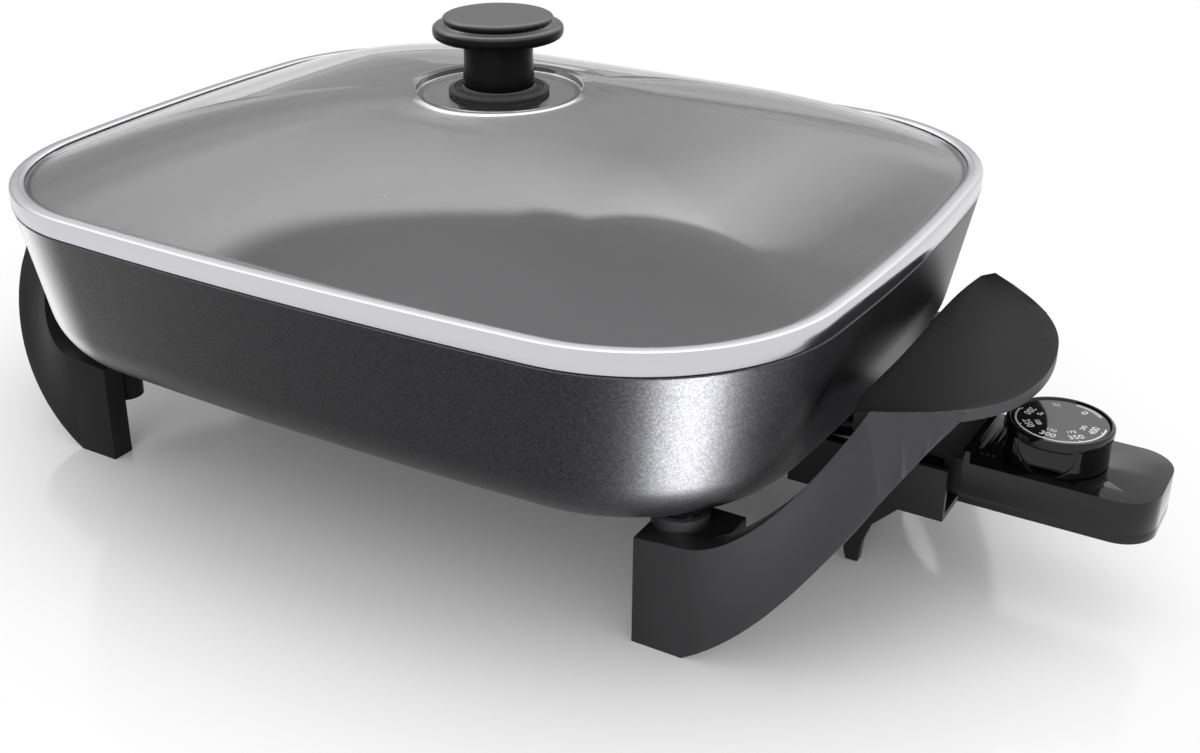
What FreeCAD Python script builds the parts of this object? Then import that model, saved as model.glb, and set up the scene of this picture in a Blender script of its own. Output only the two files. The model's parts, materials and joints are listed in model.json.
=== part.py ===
import FreeCAD, Part
import math
import os
import Sketcher
from FreeCAD import Placement, Rotation, Vector

# Electric skillet. Millimetres. The origin is on the table under the middle of the pan,
# +X runs along the pan to the temperature control, +Y to the far side, +Z up.

SIZES = [
    ("rim_half_length", 200.0), ("rim_half_width", 162.8), ("rim_corner", 87.5),
    ("long_side_radius", 2234.0), ("end_side_radius", 995.4),
    ("band_top", 136.4), ("band_bottom", 127.9), ("band_sheet", 0.9), ("band_top_width", 6.6),
    ("pan_top", 130.5), ("pan_shoulder", 127.0), ("pan_bottom", 53.3), ("lip_inset", 3.4),
    ("end_taper", 14.8), ("side_taper", 13.3), ("corner_taper", 10.0), ("shoulder_inset", 0.5),
    ("bottom_fillet", 31.0), ("wall", 3.6), ("floor", 4.0), ("inside_fillet", 27.0),
    ("pin_level", 48.5), ("pin_spacing", 26.0), ("pin_radius", 3.0), ("track_radius", 6.5),
    ("sheath_radius", 3.3), ("track_end", 152.0), ("pin_end", 196.0),
    ("glass_edge_low", 131.4), ("glass_edge_high", 135.4), ("glass_thickness", 4.0),
    ("dome_rise", 36.5), ("dimple_radius", 36.0), ("dimple_level", 168.4), ("knob_hole", 4.5),
    ("stem_radius", 16.0), ("disc_radius", 29.0), ("crown_radius", 24.5), ("knob_top", 203.2),
    ("post_x", 148.0), ("post_y", 104.0), ("post_radius", 11.5), ("shelf_top", 47.0),
    ("leg_wall", 10.8), ("leg_front", 124.5), ("leg_inner_end", 138.6), ("rim_wall", 5.0),
    ("wing_reach", 253.8), ("wing_level", 93.0), ("tip_x", 209.5), ("tip_y", 76.3), ("tip_level", 97.6),
    ("guard_start", 160.0), ("guard_end", 227.0), ("guard_half_width", 28.0), ("guard_low", 30.5),
    ("guard_high", 53.5), ("guard_wall", 2.5),
    ("control_start", 231.0), ("control_end", 304.5), ("control_half_width", 24.0),
    ("control_low", 39.5), ("control_split", 43.5), ("control_top", 57.5), ("case_wall", 2.2),
    ("control_corner", 15.0), ("probe_radius", 3.2), ("probe_tip", 112.0), ("running_gap", 0.05),
    ("dial_x", 261.5), ("dial_radius", 20.8), ("dial_low", 58.1), ("dial_top", 73.5),
]

doc = FreeCAD.newDocument("electric_skillet")
sheet = doc.addObject("Spreadsheet::Sheet", "Sizes")


class Size:
    """A length with the sheet expression that gives it."""

    def __init__(self, value, text):
        self.value = value
        self.text = text

    def join(self, other, sign, value):
        text = other.text if isinstance(other, Size) else repr(float(other))
        return Size(value, f"({self.text} {sign} {text})")

    def __add__(self, other):
        return self.join(other, "+", self.value + number(other))

    def __sub__(self, other):
        return self.join(other, "-", self.value - number(other))

    def __mul__(self, other):
        return self.join(other, "*", self.value * number(other))

    def __truediv__(self, other):
        return self.join(other, "/", self.value / number(other))

    def __neg__(self):
        return Size(-self.value, f"(0 - {self.text})")


def as_size(length):
    return length if isinstance(length, Size) else Size(float(length), repr(float(length)))


def number(length):
    return length.value if isinstance(length, Size) else float(length)


class Names:
    pass


mm = Names()
for row, (word, value) in enumerate(SIZES, start=1):
    sheet.set(f"A{row}", word)
    sheet.set(f"B{row}", str(value))
    sheet.setAlias(f"B{row}", word)
    setattr(mm, word, Size(value, f"Sizes.{word}"))
doc.recompute()


def bind(thing, prop, length):
    """Give a property its number, and its expression where the length is from the sheet."""
    if isinstance(length, Size):
        thing.setExpression(prop, length.text)
    else:
        setattr(thing, prop, length)


def place(thing, x, y, z, rotation=None):
    thing.Placement = Placement(Vector(number(x), number(y), number(z)), rotation or Rotation())
    for axis, length in (("x", x), ("y", y), ("z", z)):
        if isinstance(length, Size):
            thing.setExpression(f"Placement.Base.{axis}", length.text)


def block(name, x, y, z):
    """A Part::Box between the low and high ends given for each axis."""
    box = doc.addObject("Part::Box", name)
    for prop, (low, high) in (("Length", x), ("Width", y), ("Height", z)):
        bind(box, prop, as_size(high) - low)
    place(box, x[0], y[0], z[0])
    return box


TURNS = {"z": Rotation(), "x": Rotation(Vector(0, 1, 0), 90), "y": Rotation(Vector(1, 0, 0), -90)}


def rod(name, radius, length, start, along="z"):
    """A Part::Cylinder that starts at a point and runs along one axis."""
    cylinder = doc.addObject("Part::Cylinder", name)
    bind(cylinder, "Radius", radius)
    bind(cylinder, "Height", length)
    place(cylinder, start[0], start[1], start[2], TURNS[along])
    return cylinder


def fuse(name, shapes):
    joined = doc.addObject("Part::MultiFuse", name)
    joined.Shapes = shapes
    joined.Refine = True
    return joined


def cut(name, base, tools):
    tool = tools[0] if len(tools) == 1 else fuse(f"{name}_tools", tools)
    result = doc.addObject("Part::Cut", name)
    result.Base = base
    result.Tool = tool
    result.Refine = True
    return result


def group(name, shapes):
    """Separate solids of one node."""
    result = doc.addObject("Part::Compound", name)
    result.Links = shapes
    return result


def free_shape(name, shape):
    feature = doc.addObject("Part::Feature", name)
    feature.Shape = shape
    feature.Placement = Placement()
    return feature


def plane(body, role):
    return next(item for item in body.Origin.OriginFeatures if item.Role == role)


def sketch_on(body, name, role, lift=0.0):
    sketch = body.newObject("Sketcher::SketchObject", name)
    sketch.AttachmentSupport = [(plane(body, role), "")]
    sketch.MapMode = "FlatFace"
    if isinstance(lift, Size):
        sketch.setExpression("AttachmentOffset.Base.z", lift.text)
    sketch.AttachmentOffset = Placement(Vector(0, 0, number(lift)), Rotation())
    return sketch


def hold(sketch, *constraint):
    """Add a constraint, and drive it from the sheet where its last word is a Size."""
    length = constraint[-1]
    if not isinstance(length, Size):
        return sketch.addConstraint(Sketcher.Constraint(*constraint))
    index = sketch.addConstraint(Sketcher.Constraint(*constraint[:-1], length.value))
    sketch.setExpression(f"Constraints[{index}]", length.text)
    return index


def polygon(sketch, points):
    """A closed outline of straight lines, each corner held from the origin."""
    count = len(points)
    corners = [Vector(number(x), number(y), 0) for x, y in points]
    first = sketch.GeometryCount
    for index in range(count):
        sketch.addGeometry(Part.LineSegment(corners[index], corners[(index + 1) % count]), False)
    for index in range(count):
        line = first + index
        hold(sketch, "Coincident", line, 2, first + (index + 1) % count, 1)
        for kind, where in (("DistanceX", points[index][0]), ("DistanceY", points[index][1])):
            where = where if isinstance(where, Size) else float(where)
            hold(sketch, kind, -1, 1, line, 1, where)


def outline_arcs(half_length, half_width, corner, side_radius, end_radius):
    """Arcs of the outline, anticlockwise from the +X end: end, corner, side, corner and so on."""
    a, b, r = number(half_length), number(half_width), number(corner)
    rs, re = number(side_radius), number(end_radius)
    cx, cy = corner_centre(a, b, r, rs, re)
    join_end = math.atan2(cy, cx - (a - re))
    join_side = math.atan2(cy - (b - rs), cx)
    arcs = []
    for turn, (start, stop) in enumerate((
            (-join_end, join_end), (join_end, join_side), (join_side, math.pi - join_side),
            (math.pi - join_side, math.pi - join_end))):
        arcs.append((turn, start, stop))
    centres = ((a - re, 0, re), (cx, cy, r), (0, b - rs, rs), (-cx, cy, r))
    half = [arc_at(centres[k], start, stop) for k, start, stop in arcs]
    turned = [arc_at((-x, -y, radius), start + math.pi, stop + math.pi)
              for (x, y, radius), (_, start, stop) in zip(centres, arcs)]
    return half + turned


def arc_at(circle, start, stop):
    x, y, radius = circle
    return Part.ArcOfCircle(Part.Circle(Vector(x, y, 0), Vector(0, 0, 1), radius), start, stop)


def corner_centre(a, b, r, rs, re):
    """Centre of the corner arc that touches the end arc and the side arc from inside."""
    x1, y1, d1 = a - re, 0.0, re - r
    x2, y2, d2 = 0.0, b - rs, rs - r
    gap = math.hypot(x2 - x1, y2 - y1)
    along = (d1 ** 2 - d2 ** 2 + gap ** 2) / (2 * gap)
    aside = math.sqrt(d1 ** 2 - along ** 2)
    ux, uy = (x2 - x1) / gap, (y2 - y1) / gap
    options = [(x1 + along * ux - s * aside * uy, y1 + along * uy + s * aside * ux) for s in (1, -1)]
    return max(options, key=lambda p: p[0] + p[1])


def outline_wire(inset_end, inset_side, inset_corner, level):
    """The outline drawn in by the given amounts, as a wire at one level."""
    arcs = outline_arcs(mm.rim_half_length - inset_end, mm.rim_half_width - inset_side,
                        mm.rim_corner - inset_corner, mm.long_side_radius - inset_side,
                        mm.end_side_radius - inset_end)
    wire = Part.Wire([arc.toShape() for arc in arcs])
    wire.translate(Vector(0, 0, number(level)))
    return wire


def pad(body, name, sketch, length):
    feature = body.newObject("PartDesign::Pad", name)
    feature.Profile = sketch
    bind(feature, "Length", length)
    return feature


def new_body(name):
    body = doc.addObject("PartDesign::Body", name)
    body.Label = name
    return body


def turned(name, profile, x=0.0, y=0.0, z=0.0):
    """A body turned about an upright axis from a profile of radius and height points."""
    body = new_body(name)
    sketch = sketch_on(body, f"{name}_profile", "XZ_Plane")
    polygon(sketch, profile)
    turn = body.newObject("PartDesign::Revolution", f"{name}_turn")
    turn.Profile = sketch
    turn.ReferenceAxis = (sketch, ["V_Axis"])
    turn.Angle = 360.0
    place(body, x, y, z)
    return body


# Pan

def basin(bottom, fillet, wall):
    """A tapered tray as a solid: a rounded bottom edge, then a straight leaning wall.

    The wall thickness draws it in from the pan's outer surface.
    """
    top, tall = mm.pan_shoulder.value, mm.pan_shoulder.value - mm.pan_bottom.value
    shoulder = mm.shoulder_inset.value
    tapers = [mm.end_taper.value, mm.side_taper.value, mm.corner_taper.value]
    lean = math.atan((tapers[0] + tapers[1]) / 2 / tall)
    centre = bottom + fillet

    def ring(level, extra):
        part_down = (top - level) / tall
        insets = [shoulder + wall + (taper - shoulder) * part_down + extra for taper in tapers]
        return outline_wire(*insets, level)

    rounds = []
    for step in range(6):
        angle = math.pi / 2 - step / 5 * (math.pi / 2 - lean)
        level = centre - fillet * math.sin(angle)
        past_wall = fillet / math.cos(lean) - math.tan(lean) * (centre - level) - fillet * math.cos(angle)
        rounds.append(ring(level, max(past_wall, 0.0)))
    lower = Part.makeLoft(rounds, True, False)
    upper = Part.makeLoft([rounds[-1], ring(top, 0.0)], True, True)
    return lower.fuse(upper)


def slab(inset, low, high):
    """A flat solid with the pan's outline drawn in by one inset."""
    return Part.Face(outline_wire(inset, inset, inset, low)).extrude(Vector(0, 0, high - low))


def heater_path():
    """The element's loop under the pan: in at one terminal, round the base, out at the other."""
    z, half = mm.pin_level.value, mm.pin_spacing.value / 2
    near, far, side, bend, corner = 90.0, -112.0, 92.0, 22.0, 42.0
    end = mm.track_end.value
    points = [(end, -half), (near, -half), (near, -side), (far, -side),
              (far, side), (near, side), (near, half), (end, half)]
    radii = [bend, corner, corner, corner, corner, bend]
    edges, here = [], Vector(points[0][0], points[0][1], z)
    for k, radius in enumerate(radii, start=1):
        before, at, after = (Vector(*points[k + s], z) for s in (-1, 0, 1))
        enter, leave = (before - at).normalize(), (after - at).normalize()
        start, stop = at + enter * radius, at + leave * radius
        centre = at + enter * radius + leave * radius
        middle = centre + (at - centre).normalize() * radius
        edges.append(Part.LineSegment(here, start).toShape())
        edges.append(Part.Arc(start, middle, stop).toShape())
        here = stop
    edges.append(Part.LineSegment(here, Vector(*points[-1], z)).toShape())
    return Part.Wire(edges)


def tube_along(path, radius):
    first = path.Edges[0]
    start = first.valueAt(first.FirstParameter)
    ring = Part.Wire(Part.Circle(start, first.tangentAt(first.FirstParameter), radius).toShape())
    sweep = path.makePipeShell([ring], True, False)
    return sweep


POST_HEIGHT = 5.5
lip, mouth = mm.lip_inset.value, mm.lip_inset.value + 2.4
shoulder, lip_top = mm.pan_shoulder.value, mm.pan_top.value
tray = basin(mm.pan_bottom.value, mm.bottom_fillet.value, 0.0)
shell = free_shape("pan_shell", tray.fuse(slab(lip, shoulder, lip_top)))
hollow = basin(mm.pan_bottom.value + mm.floor.value, mm.inside_fillet.value, mm.wall.value)
space = free_shape("cooking_space", hollow.fuse(slab(mouth, shoulder - 1.0, lip_top + 1.0)))
path = heater_path()
track = free_shape("element_track", tube_along(path, mm.track_radius.value))
sheath = free_shape("element_sheath", tube_along(path, mm.sheath_radius.value))
post_bosses = []
for sx in (1, -1):
    for sy in (1, -1):
        x = mm.post_x if sx > 0 else -mm.post_x
        y = mm.post_y if sy > 0 else -mm.post_y
        post_bosses.append(rod(f"pan_lug_{sx}_{sy}", 9.0, 16.0, (x, y, mm.shelf_top + POST_HEIGHT)))
socket_boss = block("socket_boss", (70.0, mm.track_end), (Size(-9.0, "-9"), Size(9.0, "9")),
                    (mm.pin_level - 7.0, mm.pan_bottom + 1.0))
guard_lugs = [rod(f"guard_lug_{s}", 5.0, 8.0, (142.0, s * 25.0, 47.5)) for s in (1, -1)]
pan_body = fuse("pan_body", [shell, track, socket_boss] + guard_lugs + post_bosses)
probe_bore = rod("probe_bore", mm.probe_radius + mm.running_gap, 46.0, (108.0, 0.0, mm.pin_level), "x")
lug_holes = [rod(f"lug_hole_{k}", 2.0, 9.0, (lug.Placement.Base.x, lug.Placement.Base.y, 52.0))
             for k, lug in enumerate(post_bosses)]
guard_holes = [rod(f"guard_hole_{s}", 1.6, 7.0, (142.0, s * 25.0, 46.5)) for s in (1, -1)]
pan = cut("pan", pan_body, [space, sheath, probe_bore] + lug_holes + guard_holes)

# Heating element: the sheath in its track, with a bare pin at each end

pins = [rod(f"pin_{s}", mm.pin_radius, mm.pin_end - mm.track_end - 3.0,
            (mm.track_end + 3.0, s * mm.pin_spacing.value / 2, mm.pin_level), "x") for s in (1, -1)]
element_pins = group("element_pins", pins)
bushes = []
for s in (1, -1):
    y = s * mm.pin_spacing.value / 2
    outer = rod(f"bush_outer_{s}", 4.6, 3.0, (mm.track_end, y, mm.pin_level), "x")
    nose = rod(f"bush_nose_{s}", 3.9, 6.0, (mm.track_end, y, mm.pin_level), "x")
    hole = rod(f"bush_bore_{s}", mm.pin_radius, 8.0, (mm.track_end + 3.0, y, mm.pin_level), "x")
    bushes.append(cut(f"bush_{s}", fuse(f"bush_body_{s}", [outer, nose]), [hole]))
pin_bushes = group("pin_bushes", bushes)
heating_element = free_shape("heating_element", tube_along(path, mm.sheath_radius.value))

# Handles: each is one moulding with two feet, two rising legs and a leaf-shaped grip

def bezier(points, t):
    a, b, c, d = points
    s = 1 - t
    return a * s ** 3 + b * (3 * s * s * t) + c * (3 * s * t * t) + d * t ** 3


def grip_rim(u):
    """Outer edge of the grip: u is -1 at the near tip, 0 in the middle and 1 at the far tip."""
    reach, tip = mm.wing_reach.value, mm.tip_x.value
    level, tip_level = mm.wing_level.value, mm.tip_level.value
    x = tip + (reach - tip) * (1 - abs(u) ** 2.67)
    z = tip_level + (level - tip_level) * (1 - u * u)
    return Vector(x, u * mm.tip_y.value, z)


def grip_inner(u):
    """Inner edge of the grip, beside the pan's end wall."""
    return Vector(197.0 + 6.5 * u ** 4, u * mm.tip_y.value, 88.0 + 7.0 * u * u)


LEG_MEETS_RIM = -0.64
TIP_AT = 0.68


def leg_edges(u):
    """Upper and lower edge of the near leg at u, from 0 at the foot to 1 at the grip."""
    front = -mm.leg_front.value
    tip, meet = grip_rim(-1.0), grip_rim(LEG_MEETS_RIM)
    upper = [Vector(160.0, front, 48.8), Vector(184, front, 52), Vector(200, -100, 77), tip]
    lower = [Vector(160.0, front, 0), Vector(204, front - 2.0, 28), Vector(222.5, -108, 81), meet]
    if u <= TIP_AT:
        top = bezier(upper, u / TIP_AT)
    else:
        top = grip_rim(-1.0 + (u - TIP_AT) / (1 - TIP_AT) * (1 + LEG_MEETS_RIM))
    return top, bezier(lower, u)


def leg_section(u):
    """Four-sided section of the leg, its inner face drawn in by the wall's thickness."""
    top, low = leg_edges(u)
    before, after = (sum_half(leg_edges(min(max(u + s, 0.0), 1.0))) for s in (-0.02, 0.02))
    inward = (top - low).cross(after - before).normalize()
    if u == 0.0:
        inward = Vector(0, 1, 0)
    depth = mm.leg_wall.value + (mm.rim_wall.value - mm.leg_wall.value) * u
    shift = inward * depth
    return Part.makePolygon([low, top, top + shift, low + shift, low])


def sum_half(pair):
    return (pair[0] + pair[1]) * 0.5


def grip_section(u):
    """Section of the grip: dished above, thin at the rim and thicker beside the pan."""
    outer, inner = grip_rim(u), grip_inner(u)
    dish = 2.2 * (1 - u * u)
    middle = (outer + inner) * 0.5 - Vector(0, 0, dish)
    drop_out, drop_in = Vector(0, 0, mm.rim_wall.value), Vector(0, 0, mm.rim_wall.value + 2.0)
    middle_low = (outer - drop_out + inner - drop_in) * 0.5 - Vector(0, 0, dish)
    edges = [Part.Arc(inner, middle, outer).toShape() if dish > 0.1 else Part.makeLine(inner, outer),
             Part.makeLine(outer, outer - drop_out)]
    low_arc = (outer - drop_out, middle_low, inner - drop_in)
    edges.append(Part.Arc(*low_arc).toShape() if dish > 0.1 else Part.makeLine(low_arc[0], low_arc[2]))
    edges.append(Part.makeLine(inner - drop_in, inner))
    return Part.Wire(edges)


def handle_shape():
    """One handle as a list of solids that overlap: grip, legs, feet, shelves and screw posts."""
    front, end = -mm.leg_front.value, mm.leg_inner_end.value
    depth, shelf_top = mm.leg_wall.value, mm.shelf_top.value
    px, py = mm.post_x.value, -mm.post_y.value
    leg = Part.makeLoft([leg_section(u) for u in (0.0, 0.14, 0.28, 0.42, 0.55, TIP_AT)], True, False)
    root = Part.makeLoft([leg_section(u) for u in (TIP_AT - 0.001, 0.76, 0.84, 0.9)], True, True)
    face = [Vector(end, front, 0), Vector(160, front, 0), Vector(160, front, 48.8),
            Vector(end, front, 47.0), Vector(end, front, 0)]
    foot = Part.Face(Part.makePolygon(face)).extrude(Vector(0, depth, 0))
    inner = front + depth
    shelf = Part.makeBox(169 - end, 24.0, 5.0, Vector(end, inner, shelf_top - 5.0))
    post = Part.makeCylinder(mm.post_radius.value, POST_HEIGHT, Vector(px, py, shelf_top))
    socket = Part.makeCylinder(8.0, 18.0, Vector(px, py, shelf_top - 23.0))
    web = Part.makeBox(4.0, 8.0, 18.0, Vector(px - 2.0, inner, shelf_top - 23.0))
    half = leg
    for piece in (root, foot, shelf, post, socket, web):
        half = half.fuse(piece)
    screw_way = Part.makeCylinder(2.3, 40.0, Vector(px, py, 15.0))
    head_way = Part.makeCylinder(5.0, 21.0, Vector(px, py, 15.0))
    return half.cut(screw_way).cut(head_way)


def grip_shape():
    steps = (-1, -0.8, -0.5, -0.2, 0.2, 0.5, 0.8, 1)
    return Part.makeLoft([grip_section(u) for u in steps], True, False)


near_leg = handle_shape()
far_leg = near_leg.mirror(Vector(0, 0, 0), Vector(0, 1, 0))
right_handle = free_shape("right_handle", grip_shape().fuse(near_leg).fuse(far_leg))
left_handle = doc.addObject("Part::Mirroring", "left_handle")
left_handle.Source = right_handle
left_handle.Normal = (1, 0, 0)

# Screws

def screw(name, x, y, head_low, head_radius, head_height, shank_radius, shank_length):
    head = rod(f"{name}_head", head_radius, head_height, (x, y, head_low))
    shank = rod(f"{name}_shank", shank_radius, shank_length, (x, y, head_low))
    slot = block(f"{name}_slot", (x - head_radius, x + head_radius), (y - 0.5, y + 0.5),
                 (head_low - 1.0, head_low + 0.9))
    return cut(name, fuse(f"{name}_body", [head, shank]), [slot])


def washer(name, x, y, low, outer, inner, height):
    return cut(name, rod(f"{name}_outer", outer, height, (x, y, low)),
               [rod(f"{name}_hole", inner, height + 2.0, (x, y, low - 1.0))])


px, py = mm.post_x.value, mm.post_y.value
corners = [(sx * px, sy * py) for sx in (1, -1) for sy in (1, -1)]
handle_screws = group("handle_screws", [
    screw(f"handle_screw_{k}", x, y, 32.2, 4.2, 2.8, 2.0, 26.0) for k, (x, y) in enumerate(corners)])
handle_washers = group("handle_washers", [
    washer(f"handle_washer_{k}", x, y, 35.0, 4.6, 2.1, 1.0) for k, (x, y) in enumerate(corners)])

# Terminal guard: a trough round the pins, with a small leg each side

gs, ge, gw = mm.guard_start, mm.guard_end, mm.guard_half_width
trough = cut("trough", block("trough_outer", (gs, ge), (-gw, gw), (mm.guard_low, mm.guard_high)), [
    block("trough_inner", (gs - 1.0, ge + 1.0), (mm.guard_wall - gw, gw - mm.guard_wall),
          (mm.guard_low + mm.guard_wall, mm.guard_high + 1.0))])
LEG_OUTLINE = [(187.0, 4.6), (188.2, 0.6), (193.4, 0.6), (194.4, 10.0), (198.0, 20.0), (209.5, 31.5),
               (196.0, 33.0), (186.0, 33.0)]
guard_pieces = [trough]
for s in (1, -1):
    leg = new_body(f"guard_leg_{s}")
    leg_sketch = sketch_on(leg, f"guard_leg_sketch_{s}", "XZ_Plane")
    polygon(leg_sketch, LEG_OUTLINE)
    pad(leg, f"guard_leg_pad_{s}", leg_sketch, 4.0)
    place(leg, 0.0, -(gw - 4.0) if s > 0 else gw, 0.0)
    tab = block(f"guard_tab_{s}", (135.0, 166.0), (s * 24.25 - 3.75, s * 24.25 + 3.75), (44.3, 47.5))
    guard_pieces += [leg, tab]
guard_ways = [rod(f"guard_way_{s}", 1.9, 6.0, (142.0, s * 25.0, 43.0)) for s in (1, -1)]
terminal_guard = cut("terminal_guard", fuse("guard_body", guard_pieces), guard_ways)
guard_screws = group("guard_screws", [
    screw(f"guard_screw_{s}", 142.0, s * 25.0, 42.0, 3.4, 2.3, 1.6, 11.0) for s in (1, -1)])

# Lid: domed glass in a rolled metal band, with a turned knob

def dome(first_inset, lift):
    """Solid under a surface that rises from the band to a nearly flat middle."""
    edge, rise = mm.glass_edge_high.value + lift, mm.dome_rise.value
    a, b, r = (mm.rim_half_length.value, mm.rim_half_width.value, mm.rim_corner.value)
    wires = []
    for k in (1.0, 0.93, 0.82, 0.68, 0.52, 0.35, 0.18):
        ends, sides, corner = ((size - first_inset) * k for size in (a, b, r))
        wires.append(outline_wire(a - ends, b - sides, r - corner, edge + rise * (1 - k ** 2.1)))
    return Part.makeLoft(wires, True, False)


def glass_shape():
    low, high = mm.glass_edge_low.value, mm.glass_edge_high.value
    thick, dimple = mm.glass_thickness.value, mm.dimple_radius.value
    level = mm.dimple_level.value
    body = slab(1.4, low, high).fuse(dome(7.0, 0.0))
    body = body.cut(dome(11.0, -thick))
    body = body.cut(Part.makeCylinder(dimple, 10.0, Vector(0, 0, level)))
    body = body.fuse(Part.makeCylinder(dimple + 2.5, thick, Vector(0, 0, level - thick)))
    return body.cut(Part.makeCylinder(mm.knob_hole.value, 20.0, Vector(0, 0, level - 10.0)))


def band_shape():
    top, low, sheet_thick = mm.band_top.value, mm.band_bottom.value, mm.band_sheet.value
    width = mm.band_top_width.value
    body = slab(0.0, low, top)
    body = body.cut(slab(width, low - 1.0, top + 1.0))
    body = body.cut(slab(sheet_thick, mm.glass_edge_low.value, mm.glass_edge_high.value))
    return body.cut(slab(sheet_thick, low - 1.0, mm.pan_top.value))


lid_glass = free_shape("lid_glass", glass_shape())
lid_rim = free_shape("lid_rim", band_shape())

level, hole = mm.dimple_level, mm.knob_hole
seat_profile = [(hole, level), (22.5, level), (22.5, level + 1.6), (21.0, level + 2.4)]
for ring in (20.0, 18.8, 17.6):
    seat_profile += [(ring, level + 2.4), (ring, level + 1.6), (ring - 0.6, level + 1.6),
                     (ring - 0.6, level + 2.4)]
seat_profile += [(16.0, level + 3.0), (hole, level + 3.0)]
knob_seat = turned("knob_seat", seat_profile)

foot_of_stem, stem, disc, crown = level + 3.0, mm.stem_radius, mm.disc_radius, mm.crown_radius
top = mm.knob_top
lid_knob = turned("lid_knob", [
    (4.0, foot_of_stem), (stem - 1.0, foot_of_stem), (stem, foot_of_stem + 1.2), (stem - 0.6, top - 20.0),
    (stem - 0.6, top - 13.0), (stem + 1.0, top - 10.6), (stem + 3.4, top - 9.8), (disc - 1.6, top - 9.6),
    (disc - 0.3, top - 8.6), (disc, top - 7.4), (disc, top - 5.6), (disc - 0.4, top - 4.6),
    (disc - 1.6, top - 4.0), (crown + 0.4, top - 3.8), (crown - 0.9, top - 3.6), (crown - 0.9, top - 3.0),
    (crown, top - 2.8), (crown, top - 1.2), (crown - 0.4, top - 0.5), (crown - 1.4, top),
    (0.0, top), (0.0, foot_of_stem + 15.0), (4.0, foot_of_stem + 15.0)])
knob_insert = turned("knob_insert", [(2.0, foot_of_stem), (4.0, foot_of_stem), (4.0, foot_of_stem + 14.6),
                                     (2.0, foot_of_stem + 14.6)])
under = level - mm.glass_thickness
knob_washer = turned("knob_washer", [(2.2, under - 2.0), (9.0, under - 2.0), (9.0, under), (2.2, under)])
knob_screw = screw("knob_screw", 0.0, 0.0, under.value - 4.6, 4.4, 2.6, 2.0, 22.0)

# Temperature control: probe, sleeves and thermostat in a two-part case

def far_rounded(name, x, y, z, radius):
    """A block whose two upright edges at the outer end are rounded."""
    box = block(name, x, y, z)
    doc.recompute()
    far = number(x[1])
    edges = [k + 1 for k, edge in enumerate(box.Shape.Edges)
             if abs(edge.BoundBox.XMin - far) < 0.01 and edge.BoundBox.ZLength > 1
             and edge.BoundBox.YLength < 0.01]
    result = doc.addObject("Part::Fillet", f"{name}_round")
    result.Base = box
    result.Edges = [(k, number(radius), number(radius)) for k in edges]
    return result


cs, ce, cw, wall = mm.control_start, mm.control_end, mm.control_half_width, mm.case_wall
low, split, high = mm.control_low, mm.control_split, mm.control_top
pin_y = mm.pin_spacing.value / 2
corner_r, dial_x = mm.control_corner, mm.dial_x
screw_spots = [(240.0, 17.5), (240.0, -17.5), (297.0, 0.0)]

base_outer = far_rounded("base_outer", (cs, ce), (-cw, cw), (low, split), corner_r)
base_inner = far_rounded("base_inner", (cs + wall, ce - wall), (wall - cw, cw - wall),
                         (low + wall, split + 1.0), corner_r - wall)
base_posts = [rod(f"base_post_{k}", 4.0, split - low - 0.5, (x, y, low + 0.5))
              for k, (x, y) in enumerate(screw_spots)]
base_ways = [rod(f"base_way_{k}", 1.7, 8.0, (x, y, low - 1.0)) for k, (x, y) in enumerate(screw_spots)]
base_heads = [rod(f"base_head_{k}", 3.2, 2.6, (x, y, low - 1.0)) for k, (x, y) in enumerate(screw_spots)]
control_base = cut("control_base", fuse("base_body", [cut("base_tray", base_outer, [base_inner])] + base_posts),
                   base_ways + base_heads)

cover_outer = far_rounded("cover_outer", (cs, ce), (-cw, cw), (split, high), corner_r)
cover_inner = far_rounded("cover_inner", (cs + wall, ce - wall), (wall - cw, cw - wall),
                          (split - 1.0, high - wall), corner_r - wall)
cover_posts = [rod(f"cover_post_{k}", 3.4, high - split - 1.0, (x, y, split))
               for k, (x, y) in enumerate(screw_spots)]
flange = block("finger_flange", (cs, cs + 3.0), (-cw, cw), (high - 1.0, high + 5.0))
ribs = [block(f"grip_rib_{k}", (cs + 4.4 + 2.2 * k, cs + 5.4 + 2.2 * k), (-14.0, 14.0), (high - 0.5, high + 0.8))
        for k in range(3)]
cover_ways = [rod(f"cover_way_{k}", 1.2, 9.0, (x, y, split - 1.0)) for k, (x, y) in enumerate(screw_spots)]
level_in = mm.pin_level
cover_holes = [rod(f"sleeve_way_{s}", 4.6, 6.0, (cs - 1.0, s * pin_y, level_in), "x") for s in (1, -1)]
cover_holes += [rod("probe_way", mm.probe_radius, 6.0, (cs - 1.0, 0.0, level_in), "x"),
                rod("shaft_way", 3.05, 6.0, (dial_x, 0.0, high - 4.0)),
                rod("gland_way", 4.6, 5.0, (288.0, cw - 3.5, 50.0), "y")]
cover_shell = cut("cover_shell", cover_outer, [cover_inner])
control_cover = cut("control_cover", fuse("cover_body", [cover_shell, flange] + cover_posts + ribs),
                    cover_ways + cover_holes)
control_screws = group("control_screws", [
    screw(f"control_screw_{k}", x, y, low.value + 0.4, 2.8, 1.2, 1.2, 9.0)
    for k, (x, y) in enumerate(screw_spots)])
gland_outer = rod("gland_nose", 6.0, 2.5, (288.0, cw, 50.0), "y")
gland_neck = rod("gland_neck", 4.6, 6.0, (288.0, cw - 4.0, 50.0), "y")
cord_gland = cut("cord_gland", fuse("gland_body", [gland_outer, gland_neck]),
                 [rod("gland_bore", 3.0, 12.0, (288.0, cw - 6.0, 50.0), "y")])

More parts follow.
